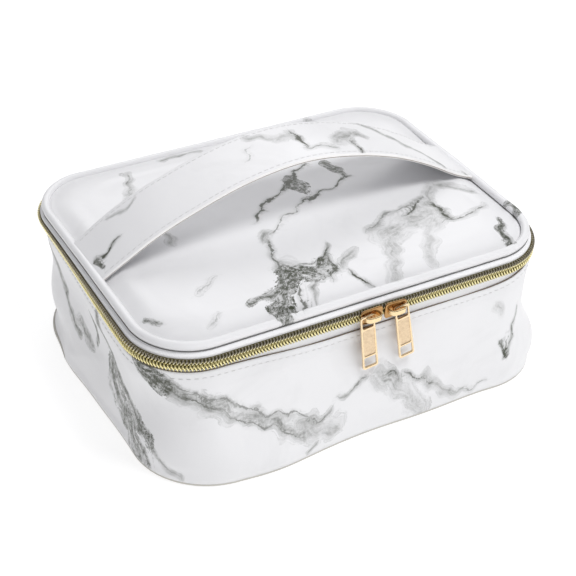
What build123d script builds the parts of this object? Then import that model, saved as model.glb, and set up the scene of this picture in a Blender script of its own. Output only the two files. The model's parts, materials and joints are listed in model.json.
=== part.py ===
"""Soft-sided makeup train case: zip-around lid, wide strap handle and two zip sliders.

Frame: millimetres, origin on the table under the middle of the case, +Z up,
+Y towards the back hinge, -Y towards the front, +X along the length.
Inset: distance measured inwards from the zip line, negative outside it.
"""
import os
from math import cos, radians, sin

from build123d import *

os.makedirs("parts", exist_ok=True)

# ---------------------------------------------------------------- driving sizes
zip_length = 227.0
zip_depth = 166.0
zip_corner = 32.0
zip_height = 68.0  # middle of the zip above the table
zip_middle = 4.9  # the front wall leans out, so the zip stands behind the middle of the case

base_length = 229.0
base_depth = 176.0
base_corner = 38.0
base_middle = -2.1
waist_length = 225.0
waist_depth = 174.0
waist_corner = 36.5
waist_middle = 0.5
waist_height = 30.0

skin = 0.9  # coated fabric
wall_foam_thickness = 2.2
lid_foam_thickness = 3.0
lining = 0.6
tape = 0.5
board = 2.5

rim_low = 52.0  # the upright rim band starts here
rim_top = 59.5  # raw top edge of the wall, under the zip
wall_bottom = 2.4
bead_radius = 1.5
bead_inside = 2 * bead_radius + 0.05
floor_top = skin + board + lining
floor_inset = 4.2

coil_row = 2.6  # height of one row of the coil
coil_thickness = 2.2
coil_gap = 1.0  # between the two rows, where the slider's core runs
tape_bottom = 52.6
tape_gap = 0.7  # from the middle of the zip to each tape's edge
tape_bend = 72.5  # the upper tape leans inwards above this
seam_inset = 3.5
seam_height = 73.6

piping_radius = 2.2
piping_height = seam_height + piping_radius
lid_inset = seam_inset + piping_radius + 0.05
lid_edge = 75.6
lid_shoulder_inset = 14.5
lid_shoulder = 78.4
lid_crown_inset = 40.5
lid_crown = 81.9
lid_crown_corner = 18.0

hinge_width = 150.0
hinge_thickness = 0.6
hinge_offset = 2.5  # the lid turns about a line this far behind the zip line
hinge_clearance = 1.0
back_band = 24.0  # depth of the block that cuts out the back of a ring

handle_width = 36.0
handle_middle = 6.9  # the strap lies this far behind the middle
handle_reach = 107.0
handle_cut = 80.0  # the free strap ends here and its sewn ends begin
handle_gap = 0.3
handle_layers = (skin, 0.9, skin)
strap_points = ((0, 113.2), (30, 110.6), (58, 102.5), (80, 91.8), (97, 82.0), (108, 75.2))

slider_half = 6.2
slider_places = {"left": -0.5, "right": 13.3}
plate = 1.0
back_plate = 0.8
front_halves = (4.5, 4.0)  # half heights at the nose, where the rows part, and at the tail
back_halves = (3.9, 3.4)
running_gap = 0.3
core_thickness = 0.4
core_length = 3.4
flange = 0.4
flange_depth = 1.6
flange_reach = 4.6
post_reach = 4.0  # from the slider's middle to each post of its bridge
post_radius = 0.9
bridge_window = 2.4
bridge_bar = 1.0
bridge_width = 2.2

pull_thickness = 1.2
pull_top_half = 3.9
pull_bottom_half = 4.4
pull_above = 2.2  # from the post's middle to the top of the pull
pull_below = 29.0
eye_width = 5.6
eye_above = 1.0
eye_below = 3.4
window_width = 5.6
window_height = 5.2
window_bar = 1.9
face_recess = 0.3
rim_width = 1.3
pull_tilt = 5.0  # degrees, away from the wall
pull_swing = {"left": 6.0, "right": 9.0}  # degrees, feet towards +X
pull_shift = {"left": 0.6, "right": -1.5}  # middle of the pull from its post


base_size = (base_length, base_depth, base_corner, base_middle)
waist_size = (waist_length, waist_depth, waist_corner, waist_middle)


# ---------------------------------------------------------------- outlines
def zip_outline(height, inset, corner=None):
    """Rounded rectangle parallel to the zip line."""
    with BuildSketch(Plane.XY.offset(height)) as face:
        with Locations((0, zip_middle)):
            RectangleRounded(
                zip_length - 2 * inset,
                zip_depth - 2 * inset,
                corner if corner else zip_corner - inset,
            )
    return face.sketch


def wall_outline(height, size, inset):
    """Rounded rectangle inside a section of the wall's outer face."""
    length, depth, corner, middle = size
    with BuildSketch(Plane.XY.offset(height)) as face:
        with Locations((0, middle)):
            RectangleRounded(length - 2 * inset, depth - 2 * inset, corner - inset)
    return face.sketch


def wall_sections(inset):
    """The three sections that the lower wall is lofted through."""
    return [
        wall_outline(wall_bottom, base_size, inset),
        wall_outline(waist_height, waist_size, inset),
        zip_outline(rim_low, inset - skin),
    ]


def lid_sections(drop):
    """The three sections of the crowned lid, lowered by drop."""
    return [
        zip_outline(lid_edge - drop, lid_inset),
        zip_outline(lid_shoulder - drop, lid_shoulder_inset),
        zip_outline(lid_crown - drop, lid_crown_inset, lid_crown_corner),
    ]


def ring(bottom, top, outer, inner):
    """Upright band that follows the zip line, between two insets."""
    with BuildPart() as band:
        extrude(zip_outline(bottom, outer), amount=top - bottom)
        extrude(zip_outline(bottom, inner), amount=top - bottom, mode=Mode.SUBTRACT)
    return band.part


def back_block(width):
    """Block that covers the back of the case over a width, for cutting bands there."""
    with BuildPart() as block:
        with BuildSketch(Plane.XY) as face:
            with Locations((0, zip_middle + zip_depth / 2)):
                Rectangle(width, back_band)
        extrude(amount=lid_crown)
    return block.part


def write(builder, name):
    """Label a finished piece and save it."""
    builder.part.label = name
    export_step(builder.part, "parts/" + name + ".step")


# ---------------------------------------------------------------- base
with BuildPart() as base_outer:
    extrude(wall_outline(0, base_size, bead_inside), amount=skin)
write(base_outer, "base_outer")

with BuildPart() as base_board:
    extrude(wall_outline(skin, base_size, bead_inside), amount=board)
write(base_board, "base_board")

with BuildPart() as base_lining:
    extrude(wall_outline(skin + board, base_size, floor_inset), amount=lining)
write(base_lining, "base_lining")

with BuildPart() as base_piping:
    with BuildLine(Plane.XY.offset(bead_radius)) as bead_path:
        add(wall_outline(bead_radius, base_size, bead_radius).wire())
    bead_start = (0, base_middle + bead_radius - base_depth / 2, bead_radius)
    with BuildSketch(Plane(origin=bead_start, z_dir=(1, 0, 0))):
        Circle(bead_radius)
    sweep()
write(base_piping, "base_piping")

# ---------------------------------------------------------------- wall
with BuildPart() as wall_outer:
    loft(wall_sections(0))
    loft(wall_sections(skin), mode=Mode.SUBTRACT)
    add(ring(rim_low, rim_top, -skin, 0))
    add(base_piping.part, mode=Mode.SUBTRACT)
write(wall_outer, "wall_outer")

wall_inner = skin + wall_foam_thickness
with BuildPart() as wall_foam:
    loft(wall_sections(skin))
    loft(wall_sections(wall_inner), mode=Mode.SUBTRACT)
    split(bisect_by=Plane.XY.offset(skin + board), keep=Keep.TOP)
    add(ring(rim_low, rim_top, tape, wall_foam_thickness))
write(wall_foam, "wall_foam")

with BuildPart() as wall_lining:
    loft(wall_sections(wall_inner))
    loft(wall_sections(wall_inner + lining), mode=Mode.SUBTRACT)
    split(bisect_by=Plane.XY.offset(floor_top), keep=Keep.TOP)
    add(ring(rim_low, rim_top, wall_foam_thickness, wall_foam_thickness + lining))
write(wall_lining, "wall_lining")

with BuildPart() as rim_binding:
    add(ring(rim_top - 6, rim_top, wall_foam_thickness + lining, wall_foam_thickness + 2 * lining))
    add(ring(rim_top, rim_top + lining, tape, wall_foam_thickness + 2 * lining))
write(rim_binding, "rim_binding")

# ---------------------------------------------------------------- zip
zip_cut = back_block(hinge_width)

with BuildPart() as zip_tape_lower:
    add(ring(tape_bottom, zip_height - tape_gap, 0, tape))
    add(zip_cut, mode=Mode.SUBTRACT)
write(zip_tape_lower, "zip_tape_lower")

with BuildPart() as zip_coil_lower:
    add(ring(zip_height - coil_gap / 2 - coil_row, zip_height - coil_gap / 2, -coil_thickness, 0))
    fillet(zip_coil_lower.faces().sort_by(Axis.Z)[-1].outer_wire().edges(), 0.8)
    fillet(zip_coil_lower.faces().sort_by(Axis.Z)[0].outer_wire().edges(), 0.8)
    add(zip_cut, mode=Mode.SUBTRACT)
write(zip_coil_lower, "zip_coil_lower")

with BuildPart() as zip_coil_upper:
    add(ring(zip_height + coil_gap / 2, zip_height + coil_gap / 2 + coil_row, -coil_thickness, 0))
    fillet(zip_coil_upper.faces().sort_by(Axis.Z)[-1].outer_wire().edges(), 0.8)
    fillet(zip_coil_upper.faces().sort_by(Axis.Z)[0].outer_wire().edges(), 0.8)
    add(zip_cut, mode=Mode.SUBTRACT)
write(zip_coil_upper, "zip_coil_upper")


def leaning_band(bottom, outer):
    """Band from the zip up to the lid's seam, leaning inwards above its bend."""
    with BuildPart() as band:
        extrude(zip_outline(bottom, outer), amount=tape_bend - bottom)
        loft([zip_outline(tape_bend, outer), zip_outline(seam_height, seam_inset)])
        extrude(zip_outline(bottom, tape), amount=tape_bend - bottom, mode=Mode.SUBTRACT)
        loft(
            [zip_outline(tape_bend, tape), zip_outline(seam_height, seam_inset + tape)],
            mode=Mode.SUBTRACT,
        )
    return band.part


with BuildPart() as zip_tape_upper:
    add(leaning_band(zip_height + tape_gap, 0))
    add(zip_cut, mode=Mode.SUBTRACT)
write(zip_tape_upper, "zip_tape_upper")

# ---------------------------------------------------------------- back hinge, in two halves
hinge_block = back_block(hinge_width - 0.6)

with BuildPart() as hinge_lower:
    add(ring(tape_bottom, rim_top, 0, tape))
    add(ring(rim_top, zip_height - hinge_clearance, -hinge_thickness, tape))
    add(hinge_block, mode=Mode.INTERSECT)
write(hinge_lower, "hinge_lower")

with BuildPart() as hinge_upper:
    add(leaning_band(zip_height + hinge_clearance, -hinge_thickness))
    add(hinge_block, mode=Mode.INTERSECT)
write(hinge_upper, "hinge_upper")

# ---------------------------------------------------------------- lid
with BuildPart() as lid_outer:
    loft(lid_sections(0))
    loft(lid_sections(skin), mode=Mode.SUBTRACT)
write(lid_outer, "lid_outer")

with BuildPart() as lid_foam:
    loft(lid_sections(skin))
    loft(lid_sections(skin + lid_foam_thickness), mode=Mode.SUBTRACT)
write(lid_foam, "lid_foam")

with BuildPart() as lid_lining:
    loft(lid_sections(skin + lid_foam_thickness))
    loft(lid_sections(skin + lid_foam_thickness + lining), mode=Mode.SUBTRACT)
write(lid_lining, "lid_lining")

with BuildPart() as lid_piping:
    with BuildLine(Plane.XY.offset(piping_height)) as piping_path:
        add(zip_outline(piping_height, seam_inset).wire())
    piping_start = (0, zip_middle + seam_inset - zip_depth / 2, piping_height)
    with BuildSketch(Plane(origin=piping_start, z_dir=(1, 0, 0))):
        Circle(piping_radius)
    sweep()
write(lid_piping, "lid_piping")

with BuildPart() as lid_binding:
    add(ring(seam_height - 1.9, seam_height - 0.1, seam_inset + tape + 0.1, lid_inset - 0.1))
write(lid_binding, "lid_binding")


# ---------------------------------------------------------------- strap handle
def strap_layer(low, high, start, stop):
    """One layer of the arched strap, between two heights over its underside."""
    right = [(x, z) for x, z in strap_points]
    points = [(-x, z) for x, z in reversed(right[1:])] + right
    lower = [(x, z + low) for x, z in points]
    upper = [(x, z + high) for x, z in points]
    with BuildPart() as layer:
        with BuildSketch(Plane.XZ.offset(-handle_middle)):
            with BuildLine():
                Spline(*lower)
                Spline(*upper)
                Line(lower[0], upper[0])
                Line(lower[-1], upper[-1])
            make_face()
        extrude(amount=handle_width / 2, both=True)
        split(bisect_by=Plane.YZ.offset(start), keep=Keep.TOP)
        split(bisect_by=Plane.YZ.offset(stop), keep=Keep.BOTTOM)
    return layer.part


free_end = handle_cut - handle_gap
layer_low = 0.0
for layer_name, layer_thickness in zip(("underside", "core", "top"), handle_layers):
    with BuildPart() as handle_layer:
        add(strap_layer(layer_low, layer_low + layer_thickness, -free_end, free_end))
    write(handle_layer, "handle_" + layer_name)
    layer_low += layer_thickness

with BuildPart() as lid_solid:
    loft(lid_sections(0))

sewn_start = handle_cut + handle_gap
for side_name, start, stop in (
    ("left", -handle_reach, -sewn_start),
    ("right", sewn_start, handle_reach),
):
    with BuildPart() as handle_end:
        add(strap_layer(0, sum(handle_layers), start, stop))
        add(lid_solid.part, mode=Mode.SUBTRACT)
        add(lid_piping.part, mode=Mode.SUBTRACT)
    write(handle_end, "handle_end_" + side_name)

# ---------------------------------------------------------------- zip sliders
coil_face = zip_middle - zip_depth / 2 - coil_thickness
front_inner = coil_face - running_gap
front_outer = front_inner - plate
back_inner = zip_middle - zip_depth / 2 + tape + running_gap
bridge_inner = front_outer - bridge_window
flange_top = zip_height - coil_gap / 2 - coil_row - running_gap


def slab(x_low, x_high, y_low, y_high, z_low, z_high):
    """Plain block between two corners."""
    with BuildPart() as block:
        with BuildSketch(Plane.XY.offset(z_low)):
            with Locations(((x_low + x_high) / 2, (y_low + y_high) / 2)):
                Rectangle(x_high - x_low, y_high - y_low)
        extrude(amount=z_high - z_low)
    return block.part


def slider_plate(middle, nose, face, thickness, halves):
    """Wedge-shaped plate, wide at the nose, lying on the plane y = face."""
    tail_x = middle - nose * slider_half
    nose_x = middle + nose * slider_half
    nose_half, tail_half = halves
    with BuildPart() as wedge:
        with BuildSketch(Plane.XZ.offset(-face)):
            with BuildLine():
                Polyline(
                    (tail_x, zip_height - tail_half),
                    (nose_x, zip_height - nose_half),
                    (nose_x, zip_height + nose_half),
                    (tail_x, zip_height + tail_half),
                    close=True,
                )
            made = make_face()
            fillet(made.vertices(), 1.4)
        extrude(amount=thickness)
    return wedge.part


for side_name, nose in (("left", 1), ("right", -1)):
    middle = slider_places[side_name]
    nose_x = middle + nose * slider_half
    core_x = nose_x - nose * core_length
    core_from = min(nose_x - nose * 0.4, core_x)
    core_to = max(nose_x - nose * 0.4, core_x)
    with BuildPart() as slider:
        add(slider_plate(middle, nose, front_inner, plate, front_halves))
        add(slider_plate(middle, nose, back_inner + back_plate, back_plate, back_halves))
        add(
            slab(
                core_from,
                core_to,
                front_inner - plate / 2,
                back_inner + back_plate / 2,
                zip_height - core_thickness / 2,
                zip_height + core_thickness / 2,
            )
        )
        add(
            slab(
                middle - flange_reach,
                middle + flange_reach,
                front_inner - plate / 2,
                front_inner + flange_depth,
                flange_top - flange,
                flange_top,
            )
        )
        for post_x in (middle - post_reach, middle + post_reach):
            with BuildSketch(Plane.XZ.offset(-front_outer - plate / 2)):
                with Locations((post_x, zip_height)):
                    Circle(post_radius)
            extrude(amount=bridge_window + (bridge_bar + plate) / 2)
        with BuildSketch(Plane.XZ.offset(-bridge_inner)):
            with Locations((middle, zip_height)):
                SlotOverall(2 * (post_reach + bridge_width / 2), bridge_width)
        extrude(amount=bridge_bar)
    write(slider, "slider_" + side_name)


# ---------------------------------------------------------------- slider pulls
def pull_body(shift):
    """Pull in its own plane: the post's middle is the origin, the foot points down."""
    with BuildPart() as tab:
        with BuildSketch(Plane.XZ):
            with BuildLine():
                Polyline(
                    (shift - pull_bottom_half, -pull_below),
                    (shift + pull_bottom_half, -pull_below),
                    (shift + pull_top_half, pull_above),
                    (shift - pull_top_half, pull_above),
                    close=True,
                )
            outline = make_face()
            fillet(outline.vertices(), 1.2)
            with Locations((shift, (eye_above - eye_below) / 2)):
                RectangleRounded(eye_width, eye_above + eye_below, 0.9, mode=Mode.SUBTRACT)
            with Locations((shift, window_bar + window_height / 2 - pull_below)):
                RectangleRounded(window_width, window_height, 0.6, mode=Mode.SUBTRACT)
        extrude(amount=pull_thickness / 2, both=True)
        recess_low = window_bar + window_height + rim_width - pull_below
        recess_high = -eye_below - rim_width
        with BuildSketch(Plane.XZ.offset(pull_thickness / 2)):
            with Locations((shift, (recess_low + recess_high) / 2)):
                RectangleRounded(window_width, recess_high - recess_low, 0.6)
        extrude(amount=-face_recess, mode=Mode.SUBTRACT)
    return tab.part


pull_plane_y = front_outer - bridge_window / 2
for side_name, outward in (("left", -1), ("right", 1)):
    post_x = slider_places[side_name] + outward * post_reach
    placed = (
        Pos(post_x, pull_plane_y, zip_height)
        * Rot(0, -pull_swing[side_name], 0)
        * Rot(-pull_tilt, 0, 0)
        * pull_body(pull_shift[side_name])
    )
    with BuildPart() as pull:
        add(placed)
    write(pull, "pull_" + side_name)

foot_drop = pull_below * cos(radians(pull_tilt))
foot_out = pull_below * sin(radians(pull_tilt))
print("lid hinge axis: y", zip_middle + zip_depth / 2 + hinge_offset, "z", zip_height)
print("pull foot: z", round(zip_height - foot_drop, 1), "y", round(pull_plane_y - foot_out, 1))
print("pull plane: y", round(pull_plane_y, 2))
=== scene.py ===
import json
import math

import bmesh
import bpy
import numpy as np
from mathutils import Matrix, Vector


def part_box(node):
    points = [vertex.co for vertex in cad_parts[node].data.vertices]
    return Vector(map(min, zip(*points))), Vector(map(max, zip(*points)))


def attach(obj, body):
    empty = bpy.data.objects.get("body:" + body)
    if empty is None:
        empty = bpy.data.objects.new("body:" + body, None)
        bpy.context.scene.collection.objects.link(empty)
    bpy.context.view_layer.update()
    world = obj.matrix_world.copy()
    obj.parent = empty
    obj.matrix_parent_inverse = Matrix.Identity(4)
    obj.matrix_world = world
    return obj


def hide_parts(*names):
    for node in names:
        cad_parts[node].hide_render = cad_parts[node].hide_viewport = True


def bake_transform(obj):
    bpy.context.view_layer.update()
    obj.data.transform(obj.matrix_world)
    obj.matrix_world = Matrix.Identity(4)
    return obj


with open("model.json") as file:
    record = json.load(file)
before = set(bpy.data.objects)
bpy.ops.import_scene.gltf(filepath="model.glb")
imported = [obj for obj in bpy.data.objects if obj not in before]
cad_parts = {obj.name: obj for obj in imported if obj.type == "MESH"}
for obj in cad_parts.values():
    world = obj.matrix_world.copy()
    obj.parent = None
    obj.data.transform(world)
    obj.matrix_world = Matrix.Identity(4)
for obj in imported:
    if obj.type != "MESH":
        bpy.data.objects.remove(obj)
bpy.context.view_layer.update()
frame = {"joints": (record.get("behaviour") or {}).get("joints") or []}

# Lengths below are millimetres and are turned into metres by MM where a mesh is made.
# Inset: distance inwards from the zip line. Run: distance along the zip line from the
# middle of the front, positive towards +X.
MM = 0.001


def node_box(node):
    """Lowest and highest corner of a CAD node, in millimetres."""
    low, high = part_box(node)
    return np.array(low) / MM, np.array(high) / MM


tape_low, tape_high = node_box("zip_tape_lower")
seam_high = node_box("zip_tape_upper")[1]
coil_low, coil_high = node_box("zip_coil_lower")
rim_box = node_box("wall_outer")
base_box = node_box("base_piping")
lid_box = node_box("lid_outer")
piping_box = node_box("lid_piping")

ZIP_HALF_X = tape_high[0]
ZIP_HALF_Y = (tape_high[1] - tape_low[1]) / 2
ZIP_MIDDLE = (tape_high[1] + tape_low[1]) / 2
ZIP_CORNER = 32.0
ZIP_HEIGHT = (coil_high[2] + node_box("zip_coil_upper")[0][2]) / 2
SKIN = 0.9
FOAM = 2.2
LID_FOAM = 3.0
LINING = 0.6
TAPE = 0.5
RIM_LOW = 52.0
RIM_TOP = rim_box[1][2]
WALL_BOTTOM = 2.4
SEAM_INSET = 3.5
SEAM_HEIGHT = seam_high[2]
PIPING_RADIUS = (piping_box[1][2] - piping_box[0][2]) / 2
PIPING_HEIGHT = piping_box[0][2] + PIPING_RADIUS
LID_INSET = SEAM_INSET + PIPING_RADIUS + 0.05
LID_LAP = 0.9  # how far the lid's skin reaches into the piping
LID_EDGE = 74.0
LID_RISE = lid_box[1][2] - LID_EDGE
BEAD_RADIUS = 1.5
HINGE_HALF = 75.0

# Outer face of the wall at three heights: height, half length, half depth, corner, middle.
BASE_MIDDLE = (base_box[0][1] + base_box[1][1]) / 2
WALL_SECTIONS = np.array(
    [
        (WALL_BOTTOM, base_box[1][0], base_box[1][1] - BASE_MIDDLE, 38.0, BASE_MIDDLE),
        (30.0, 112.5, 87.0, 36.5, 0.5),
        (RIM_LOW, ZIP_HALF_X + SKIN, ZIP_HALF_Y + SKIN, ZIP_CORNER + SKIN, ZIP_MIDDLE),
    ]
)

FRONT_HALF = ZIP_HALF_X - ZIP_CORNER
CORNER_RUN = math.pi / 2 * ZIP_CORNER
SIDE_RUN = 2 * (ZIP_HALF_Y - ZIP_CORNER)
HALF_RUN = 2 * FRONT_HALF + 2 * CORNER_RUN + SIDE_RUN
ZIP_END = HALF_RUN - HINGE_HALF


# ---------------------------------------------------------------- the case's shape
def smooth(value, low, high):
    """0 below low, 1 above high, and an even S between them."""
    t = np.clip((value - low) / (high - low), 0, 1)
    return t * t * (3 - 2 * t)


def outline(run, half_x, half_y, corner, middle):
    """Point and outward direction on a rounded rectangle, for places along the zip line."""
    side = np.where(run < 0, -1.0, 1.0)
    far = np.abs(run)
    stops = np.cumsum([FRONT_HALF, CORNER_RUN, SIDE_RUN, CORNER_RUN])
    front = np.clip(far / FRONT_HALF, 0, 1)
    first = np.clip((far - stops[0]) / CORNER_RUN, 0, 1)
    flank = np.clip((far - stops[1]) / SIDE_RUN, 0, 1)
    second = np.clip((far - stops[2]) / CORNER_RUN, 0, 1)
    back = np.clip((far - stops[3]) / FRONT_HALF, 0, 1)
    angle = (first + second - 1) * math.pi / 2
    x = front * (half_x - corner) + corner * np.cos(angle) - back * (half_x - corner)
    y = middle - half_y + corner + flank * 2 * (half_y - corner) + corner * np.sin(angle)
    return side * x, y, side * np.cos(angle), np.sin(angle)


def wall_size(height):
    """Half length, half depth, corner and middle of the wall's outer face at a height."""
    z0, z1, z2 = WALL_SECTIONS[:, 0]
    z = np.clip(height, z0, z2)[..., None]
    first = (z - z1) * (z - z2) / ((z0 - z1) * (z0 - z2))
    second = (z - z0) * (z - z2) / ((z1 - z0) * (z1 - z2))
    third = (z - z0) * (z - z1) / ((z2 - z0) * (z2 - z1))
    size = first * WALL_SECTIONS[0, 1:] + second * WALL_SECTIONS[1, 1:] + third * WALL_SECTIONS[2, 1:]
    return np.moveaxis(size, -1, 0)


# How far the left end leans in, every 6 mm of height, and the same smoothed.
LEAN_HEIGHTS = np.arange(0, 78, 6.0)
LEAN_SHIFTS = (4.0, 7.8, 7.4, 5.0, 3.2, 2.4, 2.9, 4.2, 5.3, 5.8, 5.6, 4.6, 1.4)
SMOOTH_HEIGHTS = np.arange(-6, 84, 1.5)
SMOOTH_LEAN = np.interp(SMOOTH_HEIGHTS, LEAN_HEIGHTS, LEAN_SHIFTS)
SMOOTH_LEAN = np.convolve(SMOOTH_LEAN, np.bartlett(9) / 4, "same")


def slump(x, y, z):
    """Soft give of the real case: the left end leans in under the lid, the lid's back dips."""
    left = smooth(-x, 40, 112)
    rear = smooth(y, np.interp(z, (8, 30), (10, -50)), 70)
    lean = np.interp(z, SMOOTH_HEIGHTS, SMOOTH_LEAN)
    foot = 1.6 * (1 - smooth(z, 12, 40))
    belly = 1.8 * np.exp(-(((y - 22) / 16) ** 2)) * (1 - smooth(z, 3, 16))
    x = x + left * (np.maximum(rear * lean, (1 - rear) * foot) - belly)
    z = z - smooth(y, -20, 90) * smooth(z, 55, 74) * 1.8
    return x, y, z


def foot_bulge(run):
    """How far the foot of the wall is pushed out over the plain base."""
    near = 3.6 * np.exp(-(((run + 62) / 26) ** 2)) + 1.8 * np.exp(-(((run - 108) / 24) ** 2))
    return near + 0.8 * np.sin(run / 23.0) ** 2


# Grid and frames of the cloth over the padding, and the swell read from it.
SWELL_PLACES = 122
SWELL_LEVELS = 13
CLOTH_HOLE = 0.03  # share of the lid left open in the middle of its cloth
CLOTH_FRAMES = 20
CLOTH_PRESSURE = 0.6
WALL_SWELL_CAP = 1.0
LID_SWELL_CAP = 1.2
wall_swell = np.zeros((SWELL_PLACES, SWELL_LEVELS))
lid_swell = np.zeros((SWELL_PLACES, SWELL_LEVELS))


def sample(field, row, column):
    """Value between the points of a field that closes on itself along its rows."""
    rows, columns = field.shape
    row, column = np.broadcast_arrays(row % rows, np.clip(column, 0, columns - 1))
    i = np.floor(row).astype(int)
    j = np.minimum(np.floor(column).astype(int), columns - 2)
    u, v = smooth(row - i, 0, 1), smooth(column - j, 0, 1)
    first = field[i % rows, j] * (1 - u) + field[(i + 1) % rows, j] * u
    second = field[i % rows, j + 1] * (1 - u) + field[(i + 1) % rows, j + 1] * u
    return first * (1 - v) + second * v


def wall_give(run, height):
    """How far the padded wall stands out (+) or sinks in (-) from its plain loft."""
    far = np.abs(run)
    flank = smooth(far, FRONT_HALF - 10, FRONT_HALF + CORNER_RUN)
    flank = flank * (1 - smooth(far, FRONT_HALF + CORNER_RUN + SIDE_RUN, HALF_RUN - FRONT_HALF + 10))
    right = flank * (run > 0)
    middle = np.exp(-(((height - 38) / 12) ** 2))
    low = np.exp(-(((height - 16) / 9) ** 2))
    ripple = 0.35 * np.sin(run / 17.0 + height / 11.0) + 0.25 * np.sin(run / 7.3 - height / 9.0)
    inside = smooth(height, 3, 12) * (1 - smooth(height, 50, 58))
    waist = (-2.4 * flank + 0.6 * right) * middle
    give = (waist + (0.8 + 0.4 * flank + 2.2 * right) * low + ripple) * inside
    row = (run + HALF_RUN) / (2 * HALF_RUN) * SWELL_PLACES
    column = (height - WALL_BOTTOM) / (RIM_TOP - WALL_BOTTOM) * (SWELL_LEVELS - 1)
    return give + foot_bulge(run) * (1 - smooth(height, 4, 34)) + sample(wall_swell, row, column)


def place(run, inset, height):
    """Point of the case for a run along the zip line, an inset and a height."""
    run, inset, height = np.broadcast_arrays(
        np.asarray(run, float), np.asarray(inset, float), np.asarray(height, float)
    )
    half_x, half_y, corner, middle = wall_size(height)
    x, y, nx, ny = outline(run, half_x, half_y, corner, middle)
    depth = inset + SKIN - wall_give(run, height)
    x, y, z = slump(x - nx * depth, y - ny * depth, height)
    return np.stack([x, y, z], -1)


def plan_inset(x, y):
    """Inset of a point in plan."""
    dx = np.abs(x) - (ZIP_HALF_X - ZIP_CORNER)
    dy = np.abs(y - ZIP_MIDDLE) - (ZIP_HALF_Y - ZIP_CORNER)
    outside = np.hypot(np.maximum(dx, 0), np.maximum(dy, 0))
    return ZIP_CORNER - outside - np.minimum(np.maximum(dx, dy), 0)


def lid_height(x, y):
    """Top of the crowned lid over a point in plan."""
    inset = np.maximum(plan_inset(x, y) - LID_INSET, 0)
    snug = 2.2 * smooth(y, 10, 70) * np.exp(-inset / 7.0)  # the rear edge lies tight on the piping
    return LID_EDGE + LID_RISE * (1 - np.exp(-inset / 11.0)) + snug


# ---------------------------------------------------------------- mesh helpers
def new_object(name, data):
    """Object in the scene for a mesh, curve, light or camera."""
    item = bpy.data.objects.new(name, data)
    bpy.context.scene.collection.objects.link(item)
    return item


def unit(vectors):
    """Vectors with their length made 1."""
    return vectors / np.linalg.norm(vectors, axis=-1, keepdims=True)


def rectangle(low_x, low_z, high_x, high_z):
    """Corners of a rectangle, anticlockwise."""
    return (low_x, low_z), (high_x, low_z), (high_x, high_z), (low_x, high_z)


def new_piece(name, points, faces, material, body, replaces=()):
    """Mesh piece from points in millimetres, with its rest place stored for its material."""
    points = np.asarray(points, float)
    mesh = bpy.data.meshes.new(name)
    mesh.from_pydata((points * MM).tolist(), [], faces)
    mesh.validate()
    rest = mesh.attributes.new("rest_mm", "FLOAT_VECTOR", "POINT")
    rest.data.foreach_set("vector", points.astype(np.float32).ravel())
    piece = new_object(name, mesh)
    mesh.materials.append(material)
    mesh.shade_smooth()
    if body:
        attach(piece, body)
    if replaces:
        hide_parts(*replaces)
    return piece


def grid_faces(rows, columns, wrap_rows=False, wrap_columns=False):
    """Quads of a grid of points stored row by row."""
    faces = []
    for i in range(rows if wrap_rows else rows - 1):
        for j in range(columns if wrap_columns else columns - 1):
            a = i * columns + j
            b = i * columns + (j + 1) % columns
            c = ((i + 1) % rows) * columns + (j + 1) % columns
            d = ((i + 1) % rows) * columns + j
            faces.append((a, b, c, d))
    return faces


def shell_faces(rows, columns, closed=False):
    """Faces of a tube of points stored ring by ring; its ends are capped unless it is closed."""
    faces = grid_faces(rows, columns, wrap_rows=closed, wrap_columns=True)
    if not closed:
        faces.append(tuple(reversed(range(columns))))
        faces.append(tuple((rows - 1) * columns + j for j in range(columns)))
    return faces


def runs(start, stop, step):
    """Even places along the zip line."""
    return np.linspace(start, stop, max(2, int(round((stop - start) / step)) + 1))


def rounded_profile(points, radius, steps=3):
    """Closed profile of inset and height with its corners rounded."""
    points = [np.array(p, float) for p in points]
    result = []
    for i, corner in enumerate(points):
        before = points[i - 1] - corner
        after = points[(i + 1) % len(points)] - corner
        reach = min(radius, np.linalg.norm(before) * 0.45, np.linalg.norm(after) * 0.45)
        start = corner + before / np.linalg.norm(before) * reach
        stop = corner + after / np.linalg.norm(after) * reach
        for k in range(steps + 1):
            t = k / steps
            result.append((1 - t) ** 2 * start + 2 * t * (1 - t) * corner + t * t * stop)
    return np.array(result)


def ring_piece(name, profile, material, body, replaces, span=None, step=2.0):
    """Piece with one profile all round the case, or over a span of the zip line."""
    closed = span is None
    places = runs(-HALF_RUN, HALF_RUN, step)[:-1] if closed else runs(*span, step)
    grid = place(places[:, None], profile[None, :, 0], profile[None, :, 1])
    faces = shell_faces(*grid.shape[:2], closed)
    return new_piece(name, grid.reshape(-1, 3), faces, material, body, replaces)


def tube(centres, radius, sides, closed=False):
    """Points and faces of a round tube along centres."""
    centres = np.asarray(centres, float)
    if closed:
        tangent = np.roll(centres, -1, 0) - np.roll(centres, 1, 0)
    else:
        tangent = np.gradient(centres, axis=0)
    tangent = unit(tangent)
    across = unit(np.cross(tangent, (0.0, 0.0, 1.0)))[:, None]
    rise = np.cross(across, tangent[:, None])
    angles = np.linspace(0, 2 * math.pi, sides, endpoint=False)[None, :, None]
    radius = np.broadcast_to(radius, len(centres))[:, None, None]
    points = centres[:, None] + radius * (np.cos(angles) * across + np.sin(angles) * rise)
    return points.reshape(-1, 3), shell_faces(len(centres), sides, closed)


def join_parts(parts):
    """One list of points and faces from several."""
    points, faces, offset = [], [], 0
    for part_points, part_faces in parts:
        points.append(np.asarray(part_points, float))
        faces += [tuple(index + offset for index in face) for face in part_faces]
        offset += len(part_points)
    return np.concatenate(points), faces


STITCH_WIDTH = 0.45
STITCH_HEIGHT = 0.16


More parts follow.
